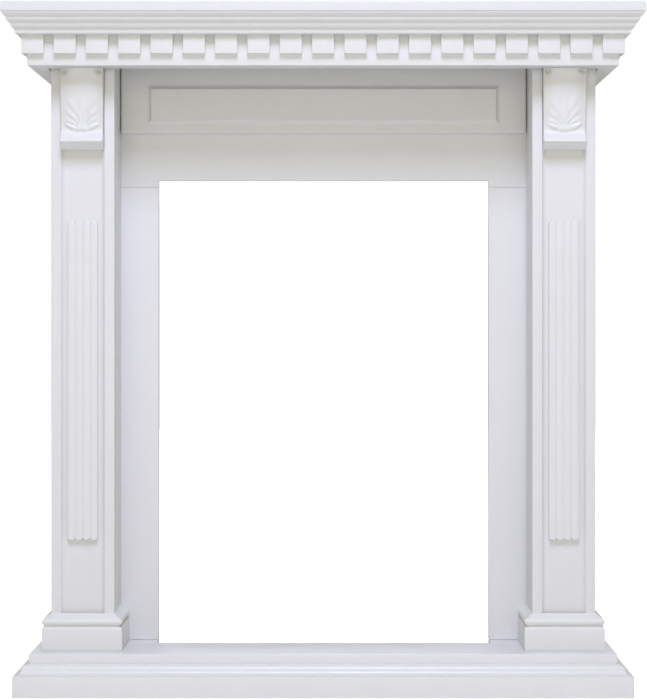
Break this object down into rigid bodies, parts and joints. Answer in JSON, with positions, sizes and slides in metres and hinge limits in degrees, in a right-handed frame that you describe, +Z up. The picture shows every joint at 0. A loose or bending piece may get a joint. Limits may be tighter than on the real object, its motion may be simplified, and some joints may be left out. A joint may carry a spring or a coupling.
{
  "type": "fireplace mantelpiece",
  "caption": "Classical white fireplace surround: dentil cornice and shelf on channelled, reeded pilasters with leaf corbels, round a wide fire opening on a stepped base.",
  "frame": {"origin": "middle of the underside of the overall box, on the floor", "axes": "+Z up, -Y is the front that faces the room, +Y points into the wall, +X to the right seen from the front"},
  "size_m": [1.04, 0.4, 1.128],
  "materials": {
    "board_lacquer": "white satin lacquer on fibreboard",
    "shelf_lacquer": "white satin lacquer on fibreboard, laid flat",
    "moulding_lacquer": "white satin lacquer on run mouldings",
    "carving_lacquer": "white satin lacquer on carved ornament"
  },
  "bodies": {
    "root": {"mantel_shelf": "shelf_lacquer", "crown_front": "moulding_lacquer", "crown_left": "moulding_lacquer", "crown_right": "moulding_lacquer", "dentil_frieze_front": "moulding_lacquer", "dentil_frieze_left": "moulding_lacquer", "dentil_frieze_right": "moulding_lacquer", "pilaster_board_left": "board_lacquer", "pilaster_board_right": "board_lacquer", "side_board_left": "board_lacquer", "side_board_right": "board_lacquer", "pilaster_return_left": "board_lacquer", "pilaster_return_right": "board_lacquer", "foot_left_front": "moulding_lacquer", "foot_left_outer": "moulding_lacquer", "foot_left_inner": "moulding_lacquer", "foot_right_front": "moulding_lacquer", "foot_right_outer": "moulding_lacquer", "foot_right_inner": "moulding_lacquer", "surround_stile_left": "board_lacquer", "surround_stile_right": "board_lacquer", "surround_rail": "board_lacquer", "header_board": "board_lacquer", "hearth_board": "shelf_lacquer", "base_front": "moulding_lacquer", "base_left": "moulding_lacquer", "base_right": "moulding_lacquer", "reeded_panel_left": "carving_lacquer", "reeded_panel_right": "carving_lacquer", "corbel_left": "carving_lacquer", "corbel_right": "carving_lacquer"}
  },
  "joints": []
}
